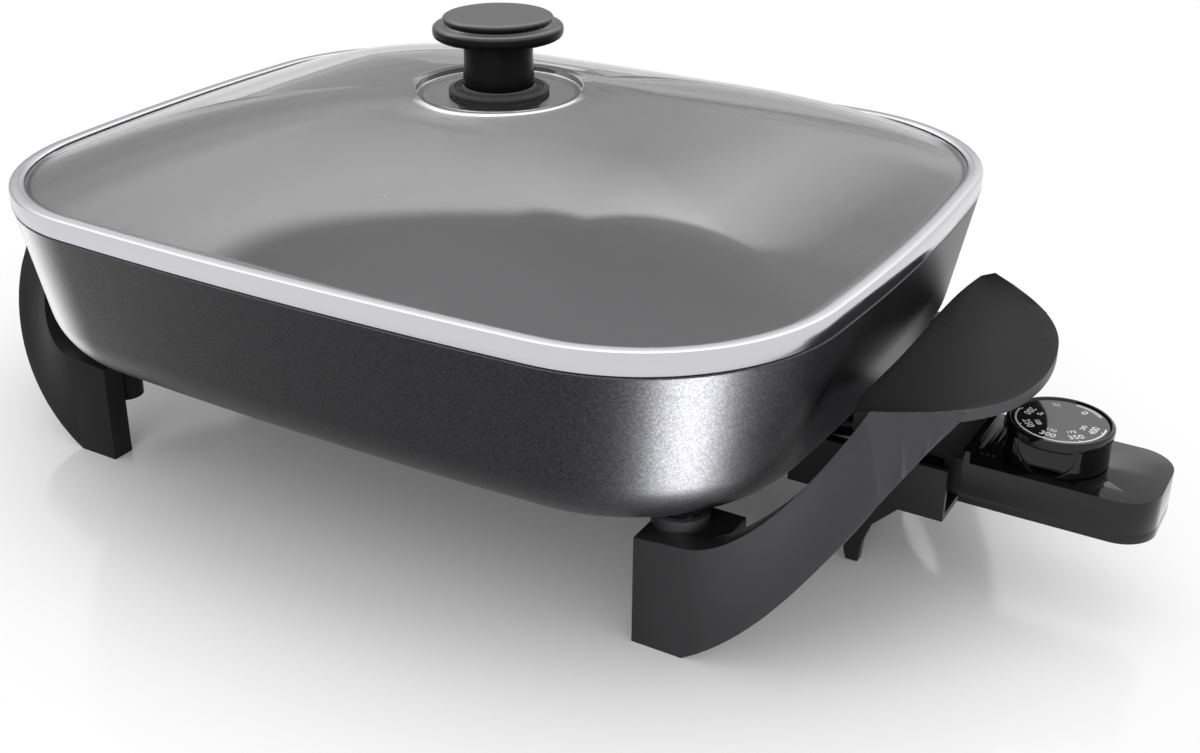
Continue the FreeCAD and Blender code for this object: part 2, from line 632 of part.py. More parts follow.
block_start = cs - 8.0
insulator_plate = block("insulator_plate", (block_start, cs), (-19.5, 19.5), (40.0, 56.0))
nose_roof = block("nose_roof", (185.0, block_start + 1.0), (-19.5, 19.5), (54.2, 56.0))
insulator = fuse("insulator_nose", [insulator_plate, nose_roof])
insulator_block = cut("insulator_block", insulator, [
    rod(f"block_way_{s}", 4.6, 12.0, (block_start - 1.0, s * pin_y, level_in), "x") for s in (1, -1)]
    + [rod("block_way_probe", mm.probe_radius, 12.0, (block_start - 1.0, 0.0, level_in), "x")])
sleeve_start = 184.0
contact_sleeves = group("contact_sleeves", [
    cut(f"sleeve_{s}", rod(f"sleeve_outer_{s}", 4.6, cs + 6.0 - sleeve_start, (sleeve_start, s * pin_y, level_in), "x"),
        [rod(f"sleeve_bore_{s}", mm.pin_radius + mm.running_gap, 40.0, (sleeve_start - 1.0, s * pin_y, level_in), "x")])
    for s in (1, -1)])
probe_tip = mm.probe_tip
probe_body = rod("probe_body", mm.probe_radius, cs + 7.0 - probe_tip - 3.0, (probe_tip + 3.0, 0.0, level_in), "x")
probe_end = doc.addObject("Part::Cone", "probe_end")
bind(probe_end, "Radius1", 1.6)
bind(probe_end, "Radius2", mm.probe_radius)
bind(probe_end, "Height", 3.0)
place(probe_end, probe_tip, 0.0, level_in, TURNS["x"])
probe_rod = fuse("probe_rod", [probe_body, probe_end])

case_floor = low + wall
plate = case_floor + 1.2
frame_foot = block("frame_foot", (cs + 7.0, 281.5), (-9.0, 9.0), (case_floor, plate))
frame_wall = block("frame_wall", (cs + 7.0, cs + 8.2), (-9.0, 9.0), (case_floor, 54.0))
thermostat_frame = cut("thermostat_frame", fuse("frame_body", [frame_foot, frame_wall]),
                       [rod("frame_way", 3.3, 4.0, (dial_x, 0.0, 41.0))])
stack = block("stack_post", (cs + 8.2, cs + 12.0), (4.5, 9.0), (plate, 52.0))
blade_levels = (46.0, 48.0, 50.0)
blade_slots = [block(f"blade_slot_{k}", (cs + 9.0, cs + 13.0), (4.0, 9.5), (z, z + 0.5))
               for k, z in enumerate(blade_levels)]
stack_block = cut("blade_stack", stack, blade_slots)
bimetal_blade = block("bimetal_blade", (cs + 9.0, 282.0), (4.8, 8.8), (46.0, 46.5))
contact_arms = []
for k, z in enumerate(blade_levels[1:]):
    arm = block(f"contact_arm_{k}", (cs + 9.0, 279.0 - 3.0 * k), (4.8, 8.8), (z, z + 0.5))
    point = rod(f"contact_point_{k}", 1.4, 0.6, (272.0, 6.8, z + 0.5 if k == 0 else z - 0.6))
    contact_arms.append(fuse(f"contact_spring_{k}", [arm, point]))
contact_springs = group("contact_springs", contact_arms)
terminal_outer = block("terminal_outer", (282.0, 292.0), (-14.0, 2.0), (case_floor, 49.0))
terminal_block = cut("terminal_block", terminal_outer, [
    rod(f"wire_way_{k}", 1.6, 14.0, (280.0, -10.0 + 8.0 * k, 46.2), "x") for k in range(2)])

# Dial: knob, printed disc, shaft and cam

dl, dt, dr = mm.dial_low, mm.dial_top, mm.dial_radius
dial_turned = turned("dial_turned", [
    (3.0, dl + 5.0), (6.0, dl + 5.0), (6.0, dl + 11.0), (17.8, dl + 11.0), (17.8, dl), (dr - 0.7, dl),
    (dr - 0.7, dt - 4.4), (dr, dt - 3.6), (dr, dt - 0.8), (dr - 0.8, dt), (dr - 1.5, dt), (dr - 2.2, dt - 1.2),
    (0.0, dt - 1.2), (0.0, dt - 5.4), (3.0, dt - 5.4)], dial_x)
scoop_disc = rod("scoop_disc", 11.5, 8.0, (dial_x, -24.5, dt - 4.6), "y")
scoop_low = block("scoop_low", (dial_x - 12.0, dial_x + 12.0), (-25.0, -15.5), (dl - 1.0, dt - 4.6))
scoop = doc.addObject("Part::MultiCommon", "thumb_scoop")
scoop.Shapes = [scoop_disc, scoop_low]
scoop_wall = block("scoop_wall", (dial_x - 13.0, dial_x + 13.0), (-17.9, -15.0), (dl + 1.0, dt - 3.0))
dial_knob = cut("dial_knob", fuse("dial_walled", [dial_turned, scoop_wall]), [scoop])
dial_cap = turned("dial_cap", [(0.0, dt - 1.2), (dr - 2.5, dt - 1.2), (dr - 2.5, dt - 0.7), (0.0, dt - 0.7)], dial_x)
shaft_round = rod("shaft_round", 3.0, dt - 5.4 - 42.0, (dial_x, 0.0, 42.0))
dial_shaft = cut("dial_shaft", shaft_round, [block("shaft_flat", (dial_x + 2.2, dial_x + 4.0), (-4.0, 4.0),
                                                   (dl + 6.0, dt - 5.0))])
cam_round = rod("cam_round", 4.6, 2.4, (dial_x, 0.0, 51.6))
cam_lobe = rod("cam_lobe", 3.4, 2.4, (dial_x - 4.0, 0.0, 51.6))
dial_cam = cut("dial_cam", fuse("cam_body", [cam_round, cam_lobe]),
               [rod("cam_bore", 3.0, 6.0, (dial_x, 0.0, 50.0))])

KEEP = [pan, element_pins, pin_bushes, heating_element, right_handle, left_handle,
        handle_screws, handle_washers, terminal_guard, guard_screws,
        lid_glass, lid_rim, knob_seat, lid_knob, knob_insert, knob_washer, knob_screw,
        control_base, control_cover, control_screws, cord_gland, insulator_block, contact_sleeves,
        probe_rod, thermostat_frame, stack_block, bimetal_blade, contact_springs, terminal_block,
        dial_knob, dial_cap, dial_shaft, dial_cam]


def check_and_export():
    doc.recompute()
    for item in doc.Objects:
        if "Invalid" in item.State or "Error" in item.State:
            raise RuntimeError(f"{item.Name} failed: {item.State}")
    os.makedirs("parts", exist_ok=True)
    for item in KEEP:
        item.Label = item.Name
        shape = item.Shape
        if shape.isNull() or not shape.isValid():
            raise RuntimeError(f"{item.Name} has no valid shape")
        print(item.Name, len(shape.Solids), round(shape.Volume), shape.BoundBox)
        shape.exportStep(f"parts/{item.Name}.step")


check_and_export()
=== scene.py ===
import json
import math

import bpy
from mathutils import Matrix, Vector

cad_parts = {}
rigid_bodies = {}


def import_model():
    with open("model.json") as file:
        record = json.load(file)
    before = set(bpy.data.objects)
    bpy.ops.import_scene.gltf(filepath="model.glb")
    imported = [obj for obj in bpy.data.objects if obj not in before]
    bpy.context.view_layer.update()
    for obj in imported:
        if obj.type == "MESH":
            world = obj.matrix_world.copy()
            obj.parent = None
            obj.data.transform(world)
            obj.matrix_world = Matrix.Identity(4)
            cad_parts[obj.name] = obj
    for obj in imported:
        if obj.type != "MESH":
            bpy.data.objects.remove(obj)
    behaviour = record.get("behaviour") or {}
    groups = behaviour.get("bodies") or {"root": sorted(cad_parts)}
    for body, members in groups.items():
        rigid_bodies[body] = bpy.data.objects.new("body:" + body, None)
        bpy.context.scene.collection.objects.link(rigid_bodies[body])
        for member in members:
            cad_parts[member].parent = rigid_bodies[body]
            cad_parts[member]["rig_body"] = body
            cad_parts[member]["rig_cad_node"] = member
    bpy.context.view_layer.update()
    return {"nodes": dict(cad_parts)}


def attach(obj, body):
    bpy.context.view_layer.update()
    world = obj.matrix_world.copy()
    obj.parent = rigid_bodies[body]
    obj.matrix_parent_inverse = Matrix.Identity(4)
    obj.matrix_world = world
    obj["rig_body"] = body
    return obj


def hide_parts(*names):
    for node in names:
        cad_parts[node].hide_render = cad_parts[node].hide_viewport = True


# Electric skillet, dressed for the photograph. Metres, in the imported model's frame:
# +X to the temperature control, +Y to the far side, +Z up. Section tables are in millimetres.

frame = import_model()
nodes = frame["nodes"]

MM = 0.001

# Camera: place, yaw, pitch and roll were fitted to the rim, feet and control in the photograph

CAMERA_AT = Vector((0.37470, -0.56690, 0.36387))
YAW, PITCH, ROLL = -0.54728, 0.42429, -0.00451
IMAGE = (1200, 753)
FOCAL_PIXELS = 1563.105
CENTRE_PIXEL = (556.049, 317.479)
SENSOR = 36.0


def make_camera():
    data = bpy.data.cameras.new("photo_camera")
    data.sensor_width = SENSOR
    data.lens = FOCAL_PIXELS / IMAGE[0] * SENSOR
    data.shift_x = (IMAGE[0] / 2 - CENTRE_PIXEL[0]) / IMAGE[0]
    data.shift_y = (CENTRE_PIXEL[1] - IMAGE[1] / 2) / IMAGE[0]
    camera = bpy.data.objects.new("photo_camera", data)
    bpy.context.scene.collection.objects.link(camera)
    forward = Vector((math.sin(YAW) * math.cos(PITCH), math.cos(YAW) * math.cos(PITCH), -math.sin(PITCH)))
    level_right = forward.cross(Vector((0, 0, 1))).normalized()
    level_up = level_right.cross(forward)
    right = level_right * math.cos(ROLL) + level_up * math.sin(ROLL)
    up = level_up * math.cos(ROLL) - level_right * math.sin(ROLL)
    turned = Matrix((right, up, -forward)).transposed()
    camera.matrix_world = Matrix.Translation(CAMERA_AT) @ turned.to_4x4()
    bpy.context.scene.camera = camera


make_camera()


# Materials

GRAIN_SPAN, SMUDGE_SPAN = (0.3, 0.7), (0.35, 0.7)
FLAKE_MM = 0.45
SIDE_FACING, TOP_FACING = 0.3, 0.9
SPREAD, SMOOTHEST = 0.08, 0.05


def srgb(code):
    """Linear colour of an sRGB hex code."""
    parts = [int(code[i:i + 2], 16) / 255 for i in (0, 2, 4)]
    return tuple(c / 12.92 if c <= 0.04045 else ((c + 0.055) / 1.055) ** 2.4 for c in parts) + (1.0,)


def add(tree, kind, values=(), links=(), **settings):
    """Add a node, give it settings and socket values, and link its inputs."""
    made = tree.nodes.new(kind)
    for name, value in settings.items():
        setattr(made, name, value)
    for socket, value in dict(values).items():
        made.inputs[socket].default_value = value
    for socket, source in dict(links).items():
        tree.links.new(source, made.inputs[socket])
    return made


def new_material(name, colour, metallic, roughness, ior=1.5, **sockets):
    """A material with its shader, and the object coordinates that its patterns read."""
    material = bpy.data.materials.new(name)
    material.use_nodes = True
    tree = material.node_tree
    shader = tree.nodes["Principled BSDF"]
    shader.inputs["Base Color"].default_value = srgb(colour)
    shader.inputs["Metallic"].default_value = metallic
    shader.inputs["Roughness"].default_value = roughness
    shader.inputs["IOR"].default_value = ior
    for socket, value in sockets.items():
        shader.inputs[socket.replace("_", " ")].default_value = value
    place = add(tree, "ShaderNodeTexCoord").outputs["Object"]
    return material, tree, shader, place


def vary_roughness(tree, shader, noise, span, low, high):
    """Let a noise, over the given span of it, move the roughness between two values."""
    spread = add(tree, "ShaderNodeMapRange",
                 {"From Min": span[0], "From Max": span[1], "To Min": low, "To Max": high},
                 {"Value": noise.outputs["Fac"]})
    tree.links.new(spread.outputs["Result"], shader.inputs["Roughness"])


def grain(tree, shader, place, size_mm, depth_mm, strength, low, high):
    """Fine noise of a real grain size, as bump and as a range of roughness."""
    noise = add(tree, "ShaderNodeTexNoise", {"Scale": 1000 / size_mm, "Detail": 3.0}, {"Vector": place})
    bump = add(tree, "ShaderNodeBump", {"Strength": strength, "Distance": depth_mm * MM},
               {"Height": noise.outputs["Fac"]})
    tree.links.new(bump.outputs["Normal"], shader.inputs["Normal"])
    vary_roughness(tree, shader, noise, GRAIN_SPAN, low, high)
    return noise


def smudges(tree, shader, place, size_mm, low, high):
    """Slow changes of roughness, such as handling leaves on a gloss surface."""
    noise = add(tree, "ShaderNodeTexNoise", {"Scale": 1000 / size_mm, "Detail": 4.0}, {"Vector": place})
    vary_roughness(tree, shader, noise, SMUDGE_SPAN, low, high)


def two_tone(tree, shader, source, dark, pale):
    """Colour between two tones, each given as its place on the ramp and its sRGB code."""
    tone = add(tree, "ShaderNodeValToRGB", links={"Fac": source})
    for stop, (level, code) in zip(tone.color_ramp.elements, (dark, pale)):
        stop.position = level
        stop.color = srgb(code)
    tree.links.new(tone.outputs["Color"], shader.inputs["Base Color"])


def charcoal_metallic_enamel():
    """Sprayed and baked: dark ground with aluminium flakes of about 0.5 mm that glint one by one."""
    material, tree, shader, place = new_material("charcoal_metallic_enamel", "232325", 0.85, 0.38,
                                                 Coat_Weight=0.1, Coat_Roughness=0.32, Coat_IOR=1.5)
    flakes = add(tree, "ShaderNodeTexVoronoi", {"Scale": 1000 / FLAKE_MM}, {"Vector": place})
    two_tone(tree, shader, flakes.outputs["Color"], (0.25, "121214"), (1.0, "2D2D30"))
    turned = add(tree, "ShaderNodeBump", {"Strength": 0.06, "Distance": 0.05 * MM},
                 {"Height": flakes.outputs["Distance"]})
    tree.links.new(turned.outputs["Normal"], shader.inputs["Normal"])
    return material


def grey_ptfe_nonstick():
    """Rolled non-stick coat: even grey with fine pale specks and a soft sheen."""
    material, tree, shader, place = new_material("grey_ptfe_nonstick", "4E4E50", 0.25, 0.42)
    noise = grain(tree, shader, place, 0.8, 0.03, 0.3, 0.36, 0.5)
    two_tone(tree, shader, noise.outputs["Fac"], (0.35, "444446"), (0.7, "646467"))
    return material


def polished_stainless_steel():
    """Rolled and buffed strip: bright, with slow changes of its roughness over it."""
    material, tree, shader, place = new_material("polished_stainless_steel", "CECDD2", 1.0, 0.16)
    smudges(tree, shader, place, 22.0, 0.12, 0.22)
    return material


def tempered_soda_lime_glass():
    """Pressed and tempered clear glass: a slight grey cast, and light passes it into the pan."""
    material, tree, shader, place = new_material("tempered_soda_lime_glass", "ECECED", 0.0, 0.0, 1.5,
                                                 Transmission_Weight=1.0)
    out = tree.nodes["Material Output"]
    clear = add(tree, "ShaderNodeBsdfTransparent", {"Color": srgb("E6E6E7")})
    path = add(tree, "ShaderNodeLightPath")
    mix = add(tree, "ShaderNodeMixShader", links={"Fac": path.outputs["Is Shadow Ray"]})
    tree.links.new(shader.outputs["BSDF"], mix.inputs[1])
    tree.links.new(clear.outputs["BSDF"], mix.inputs[2])
    tree.links.new(mix.outputs["Shader"], out.inputs["Surface"])
    return material


def satin_black_phenolic(name, colour, low, high, size_mm=0.9, depth_mm=0.03, gloss=0.3,
                         shaded_side_gloss=None):
    """Compression-moulded phenolic from a fine-blasted mould: black, satin, with a faint grain.
    Where a side gloss is given, faces that turn away from facing up get that lower gloss: painted shade that
    darkens the sides against the top, though the whole knob has the same polished finish."""
    material, tree, shader, place = new_material(name, colour, 0.0, low, 1.55, Specular_IOR_Level=gloss)
    grain(tree, shader, place, size_mm, depth_mm, 0.25, low, high)
    if shaded_side_gloss is not None:
        # Painted shade: the gloss drops with the face's turn from up, so the sides mirror less light than the
        # top.
        facing = add(tree, "ShaderNodeNewGeometry").outputs["Normal"]
        parts = add(tree, "ShaderNodeSeparateXYZ", links={"Vector": facing})
        sheen = add(tree, "ShaderNodeMapRange",
                    {"From Min": SIDE_FACING, "From Max": TOP_FACING, "To Min": shaded_side_gloss, "To Max": gloss},
                    {"Value": parts.outputs["Z"]})
        tree.links.new(sheen.outputs["Result"], shader.inputs["Specular IOR Level"])
    return material


def gloss_black_abs(name, colour, low, high):
    """ABS from a polished mould: deep black and glossy, with faint handling smudges."""
    material, tree, shader, place = new_material(name, colour, 0.0, low, 1.53, Coat_Weight=0.25,
                                                 Coat_Roughness=0.03, Coat_IOR=1.5,
                                                 Specular_IOR_Level=0.25)
    smudges(tree, shader, place, 14.0, low, high)
    return material


def plain_finish(name, colour, metallic, roughness, size_mm, depth_mm):
    """A small part's finish with a grain of its own size."""
    material, tree, shader, place = new_material(name, colour, metallic, roughness)
    low, high = max(roughness - SPREAD, SMOOTHEST), roughness + SPREAD
    grain(tree, shader, place, size_mm, depth_mm, 0.4, low, high)
    return material


enamel = charcoal_metallic_enamel()
nonstick = grey_ptfe_nonstick()
steel = polished_stainless_steel()
glass = tempered_soda_lime_glass()
handle_black = satin_black_phenolic("satin_black_phenolic", "202021", 0.32, 0.42, gloss=0.05)
guard_black = satin_black_phenolic("moulded_guard_phenolic", "171718", 0.36, 0.46)
# The knob's stem and sides carry painted shade, as a lower gloss on faces that do not look up.
knob_black = satin_black_phenolic("polished_black_phenolic", "0C0C0D", 0.2, 0.28, 1.2, 0.01, gloss=0.95,
                                  shaded_side_gloss=0.07)
case_black = gloss_black_abs("gloss_black_abs", "0E0E0F", 0.03, 0.08)
dial_black = gloss_black_abs("gloss_black_dial_abs", "0C0C0D", 0.04, 0.1)
dial_face = gloss_black_abs("screen_printed_black_disc", "101011", 0.05, 0.12)
print_white = plain_finish("white_pad_print", "E6E6E4", 0.0, 0.45, 0.3, 0.01)
rubber = plain_finish("black_silicone_rubber", "141414", 0.0, 0.62, 0.6, 0.02)
zinc = plain_finish("zinc_plated_steel", "A9A9A6", 1.0, 0.32, 0.5, 0.01)
bright_pin = plain_finish("nickel_plated_steel", "BEBDB8", 1.0, 0.2, 0.4, 0.005)
dull_sheath = plain_finish("oxidised_steel_sheath", "5E5C59", 1.0, 0.5, 0.7, 0.02)
ceramic = plain_finish("steatite_ceramic", "D5CFC0", 0.0, 0.55, 0.3, 0.02)
blackened = plain_finish("blackened_brass", "1B1A19", 1.0, 0.42, 0.5, 0.01)
brass = plain_finish("turned_brass", "C9A45C", 1.0, 0.28, 0.5, 0.01)
aluminium = plain_finish("drawn_aluminium", "B4B5B7", 1.0, 0.35, 0.6, 0.01)

FINISH = {
    "pan": enamel, "element_pins": bright_pin, "pin_bushes": ceramic, "heating_element": dull_sheath,
    "right_handle": handle_black, "left_handle": handle_black, "handle_screws": zinc,
    "handle_washers": zinc, "terminal_guard": guard_black, "guard_screws": zinc,
    "lid_glass": glass, "lid_rim": steel, "knob_seat": rubber, "lid_knob": knob_black,
    "knob_insert": brass, "knob_washer": rubber, "knob_screw": zinc,
    "control_base": case_black, "control_cover": case_black, "control_screws": zinc,
    "cord_gland": guard_black, "insulator_block": guard_black, "contact_sleeves": blackened,
    "probe_rod": aluminium, "thermostat_frame": bright_pin, "blade_stack": ceramic,
    "bimetal_blade": bright_pin, "contact_springs": brass, "terminal_block": guard_black,
    "dial_knob": dial_black, "dial_cap": dial_face, "dial_shaft": guard_black, "dial_cam": guard_black}


def dress(thing, material):
    thing.data.materials.clear()
    thing.data.materials.append(material)


for name, material in FINISH.items():
    dress(nodes[name], material)


# Shared making

def deselect():
    if bpy.context.object and bpy.context.object.mode == "EDIT":
        bpy.ops.object.mode_set(mode="OBJECT")
    bpy.ops.object.select_all(action="DESELECT")


def take(thing):
    """Make one object the only selected and active one."""
    deselect()
    thing.select_set(True)
    bpy.context.view_layer.objects.active = thing


def apply_modifiers(thing):
    take(thing)
    for modifier in list(thing.modifiers):
        bpy.ops.object.modifier_apply(modifier=modifier.name)


def joined(name, pieces):
    deselect()
    for piece in pieces:
        piece.select_set(True)
    bpy.context.view_layer.objects.active = pieces[0]
    bpy.ops.object.join()
    pieces[0].name = name
    return pieces[0]


def settle(thing):
    """Put the object's place into its mesh."""
    take(thing)
    bpy.ops.object.transform_apply(location=True, rotation=True, scale=True)


# Distances for merging corners, and angles for flattening, rounding and smooth shading
MERGE = 0.02 * MM
FLAT, ROUND_FROM, SMOOTH_BELOW = math.radians(0.2), math.radians(40), math.radians(35)
SKIN_SMOOTH, SKIN_MERGE = math.radians(40), 0.001 * MM
ROUND_SEGMENTS, CORNER_REACH = 3, 0.4 * MM


def merged_copy(node, name):
    """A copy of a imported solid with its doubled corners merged, left in edit mode with all of it selected."""
    source = nodes[node]
    copy = source.copy()
    copy.data = source.data.copy()
    copy.parent = None
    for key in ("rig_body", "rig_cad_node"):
        del copy[key]
    bpy.context.scene.collection.objects.link(copy)
    copy.name = name
    take(copy)
    bpy.ops.object.mode_set(mode="EDIT")
    bpy.ops.mesh.select_all(action="SELECT")
    bpy.ops.mesh.remove_doubles(threshold=MERGE)
    return copy


def drawn_to(thing, moves):
    """Move single corners of a mesh: pairs of an old and a new place in millimetres, mirrored to all legs."""
    for sx in (1, -1):
        for sy in (1, -1):
            for old, new in moves:
                near, far = (Vector((p[0] * sx, p[1] * sy, p[2])) * MM for p in (old, new))
                for vertex in thing.data.vertices:
                    if (vertex.co - near).length < CORNER_REACH:
                        vertex.co = far


def softened(node, name, width_mm, moves=()):
    """A merged copy of a solid with its moulded edges rounded as far as its short edges allow.
    It stands for the solid."""
    source = nodes[node]
    copy = merged_copy(node, name)
    bpy.ops.mesh.dissolve_limited(angle_limit=FLAT)
    bpy.ops.object.mode_set(mode="OBJECT")
    drawn_to(copy, moves)
    bevel = copy.modifiers.new("rounding", "BEVEL")
    bevel.width = width_mm * MM
    bevel.segments = ROUND_SEGMENTS
    bevel.limit_method = "ANGLE"
    bevel.angle_limit = ROUND_FROM
    bevel.use_clamp_overlap = True
    bevel.harden_normals = False
    apply_modifiers(copy)
    take(copy)
    bpy.ops.object.shade_smooth_by_angle(angle=SMOOTH_BELOW)
    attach(copy, source["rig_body"])
    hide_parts(node)
    return copy


# The pan's outline: bowed ends and sides with tangent corner arcs, in millimetres

HALF_LENGTH, HALF_WIDTH, CORNER = 200.0, 162.8, 87.5
SIDE_BOW, END_BOW = 2234.0, 995.4
ARC_STEPS = (14, 26, 16)


def corner_centre(a, b, r, side, end):
    """Centre of the corner arc of radius r that touches the bow of the end and that of the side."""
    x1, y1, d1 = a - end, 0.0, end - r
    x2, y2, d2 = 0.0, b - side, side - r
    gap = math.hypot(x2 - x1, y2 - y1)
    along = (d1 ** 2 - d2 ** 2 + gap ** 2) / (2 * gap)
    aside = math.sqrt(d1 ** 2 - along ** 2)
    ux, uy = (x2 - x1) / gap, (y2 - y1) / gap
    both = [(x1 + along * ux - s * aside * uy, y1 + along * uy + s * aside * ux) for s in (1, -1)]
    return max(both, key=lambda p: p[0] + p[1])


def outline(inset_end, inset_side, inset_corner, level, shrink=1.0):
    """Points round the outline drawn in by the insets, then shrunk to the middle, at one level."""
    a, b, r = HALF_LENGTH - inset_end, HALF_WIDTH - inset_side, CORNER - inset_corner
    side, end = SIDE_BOW - inset_side, END_BOW - inset_end
    cx, cy = corner_centre(a, b, r, side, end)
    join_end = math.atan2(cy, cx - (a - end))
    join_side = math.atan2(cy - (b - side), cx)
    arcs = (((a - end, 0.0, end), -join_end, join_end, ARC_STEPS[0]),
            ((cx, cy, r), join_end, join_side, ARC_STEPS[1]),
            ((0.0, b - side, side), join_side, math.pi - join_side, ARC_STEPS[2]),
            ((-cx, cy, r), math.pi - join_side, math.pi - join_end, ARC_STEPS[1]))
    half = []
    for (x, y, radius), start, stop, steps in arcs:
        for k in range(steps):
            turn = start + (stop - start) * k / steps
            half.append(Vector((x + radius * math.cos(turn), y + radius * math.sin(turn), 0)))
    points = half + [-p for p in half]
    return [Vector((p.x * shrink, p.y * shrink, level)) * MM for p in points]


AROUND = 2 * (ARC_STEPS[0] + 2 * ARC_STEPS[1] + ARC_STEPS[2])


def circle(radius, level, like):
    """Points of a circle in the directions of another ring's points."""
    return [Vector((p.x, p.y, 0)).normalized() * radius * MM + Vector((0, 0, level * MM)) for p in like]


def skin(name, rings, looped=False):
    """Extrude a ring of vertices through the given rings, closing the ends or joining them."""
    deselect()
    bpy.ops.mesh.primitive_circle_add(vertices=AROUND, radius=HALF_WIDTH * MM, fill_type="NOTHING")
    thing = bpy.context.object
    thing.name = name
    for vertex, point in zip(thing.data.vertices, rings[0]):
        vertex.co = point
    for ring in rings[1:]:
        bpy.ops.object.mode_set(mode="EDIT")
        bpy.ops.mesh.extrude_edges_move()
        bpy.ops.object.mode_set(mode="OBJECT")
        last = thing.data.vertices[-AROUND:]
        for vertex, point in zip(last, ring):
            vertex.co = point
    if looped:
        for vertex in thing.data.vertices[:AROUND]:
            vertex.select = True
        for edge in thing.data.edges:
            edge.select = all(thing.data.vertices[v].select for v in edge.vertices)
        bpy.ops.object.mode_set(mode="EDIT")
        bpy.ops.mesh.bridge_edge_loops()
    else:
        bpy.ops.object.mode_set(mode="EDIT")
        bpy.ops.mesh.select_all(action="DESELECT")
        bpy.ops.mesh.select_non_manifold()
        bpy.ops.mesh.edge_face_add()
    bpy.ops.mesh.select_all(action="SELECT")
    bpy.ops.mesh.remove_doubles(threshold=SKIN_MERGE)
    bpy.ops.mesh.normals_make_consistent(inside=False)
    bpy.ops.object.mode_set(mode="OBJECT")
    bpy.ops.object.shade_smooth_by_angle(angle=SKIN_SMOOTH)
    return thing


# Pan: one skin from the middle of its underside up the wall, over the lip and down to the floor inside

SHOULDER, SHOULDER_INSET, PAN_BOTTOM = 127.0, 0.5, 53.3
# How far the ends, the sides and the corner radius draw in from the shoulder to the bottom
TAPERS = (14.8, 13.3, 10.0)
BOTTOM_ROUND, INSIDE_ROUND, WALL, FLOOR = 31.0, 27.0, 3.6, 4.0
ROUND_STEPS = 14
FLAT_SHARES, WALL_SHARES = (0.04, 0.3, 0.6, 0.85), (0.33, 0.66, 0.96)
FACING_UP, NEARLY_LEVEL = -0.2, 0.6
CUT_CLEAR = 0.02


def basin_rings(bottom, fillet, wall):
    """Rings of a tapered tray from its flat bottom out round the fillet and up the wall."""
    tall = SHOULDER - PAN_BOTTOM
    lean = math.atan((TAPERS[0] + TAPERS[1]) / 2 / tall)
    centre = bottom + fillet

    def ring(level, extra):
        down = (SHOULDER - level) / tall
        return outline(*[SHOULDER_INSET + wall + (t - SHOULDER_INSET) * down + extra for t in TAPERS], level)

    rings = []
    for step in range(ROUND_STEPS + 1):
        angle = math.pi / 2 - step / ROUND_STEPS * (math.pi / 2 - lean)
        level = centre - fillet * math.sin(angle)
        past = fillet / math.cos(lean) - math.tan(lean) * (centre - level) - fillet * math.cos(angle)
        rings.append(ring(level, max(past, 0.0)))
    flat = [[Vector((p.x * k, p.y * k, p.z)) for p in rings[0]] for k in FLAT_SHARES]
    last = rings[-1][0].z / MM
    return flat + rings + [ring(last + (SHOULDER - last) * k, 0.0) for k in WALL_SHARES]


outer = basin_rings(PAN_BOTTOM, BOTTOM_ROUND, 0.0)
inner = basin_rings(PAN_BOTTOM + FLOOR, INSIDE_ROUND, WALL)
lip = [outline(i, i, i, z) for i, z in (
    (0.55, 126.6), (1.0, 127.0), (3.0, 127.0), (3.4, 127.4), (3.4, 129.9), (3.7, 130.4), (4.2, 130.5),
    (5.0, 130.5), (5.6, 130.3), (5.9, 129.8), (5.9, 127.0), (5.2, 125.4))]
pan = skin("pan_shell", outer + lip + inner[::-1])
dress(pan, enamel)
pan.data.materials.append(nonstick)


def is_coated(face):
    """Faces that look up, or across towards the middle, carry the non-stick coat."""
    inwards = face.normal.x * face.center.x + face.normal.y * face.center.y < 0.0
    return face.normal.z > FACING_UP and (inwards or face.normal.z > NEARLY_LEVEL)


for face in pan.data.polygons:
    face.material_index = 1 if is_coated(face) else 0


def underside():
    """The cast track and socket below the pan's bottom, cut from a copy of the solid."""
    copy = merged_copy("pan", "pan_underside")
    bpy.ops.mesh.bisect(plane_co=(0, 0, (PAN_BOTTOM + CUT_CLEAR) * MM), plane_no=(0, 0, 1), clear_outer=True,
                        use_fill=True)
    bpy.ops.mesh.select_all(action="SELECT")
    bpy.ops.mesh.normals_make_consistent(inside=False)
    bpy.ops.object.mode_set(mode="OBJECT")
    bpy.ops.object.shade_smooth_by_angle(angle=SMOOTH_BELOW)
    return copy


LUG_X, LUG_Y, LUG_LEVEL, LUG_RADIUS, LUG_DEPTH = 148.0, 104.0, 54.3, 9.0, 3.6


def pan_lugs():
    """The four round lugs that the handles are screwed to."""
    lugs = []
    for sx in (1, -1):
        for sy in (1, -1):
            deselect()
            bpy.ops.mesh.primitive_cylinder_add(vertices=48, radius=LUG_RADIUS * MM, depth=LUG_DEPTH * MM,
                                                location=(sx * LUG_X * MM, sy * LUG_Y * MM, LUG_LEVEL * MM))
            settle(bpy.context.object)
            lugs.append(bpy.context.object)
    return joined("pan_lugs", lugs)


under = underside()
lug_piece = pan_lugs()
dress(lug_piece, enamel)
dress(under, enamel)
for piece in (pan, under, lug_piece):
    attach(piece, "skillet")
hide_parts("pan")

# Lid glass: a pressed dome with a round recess for the knob

EDGE_LOW, EDGE_HIGH, RISE, THICK, DOME_POWER = 131.4, 135.4, 36.5, 4.0, 2.1
RECESS, RECESS_LEVEL, HOLE = 36.0, 168.4, 4.5
RECESS_SHARE, STEP_OUT, STEP_RUN, SEAT_RADIUS = 0.21, 2.4, 4.4, 22.0
TOP_INSET, UNDER_INSET, RIM_INSET = 7.0, 9.0, 10.5
APRON, APRON_RISE = 6.0, 0.05
DOME_SHARES = (1.0, 0.985, 0.96, 0.93, 0.89, 0.84, 0.78, 0.71, 0.63, 0.55, 0.47, 0.4, 0.34, 0.29)
STEP_SHARES = (0, 0.15, 0.3, 0.5, 0.7, 0.85, 1)


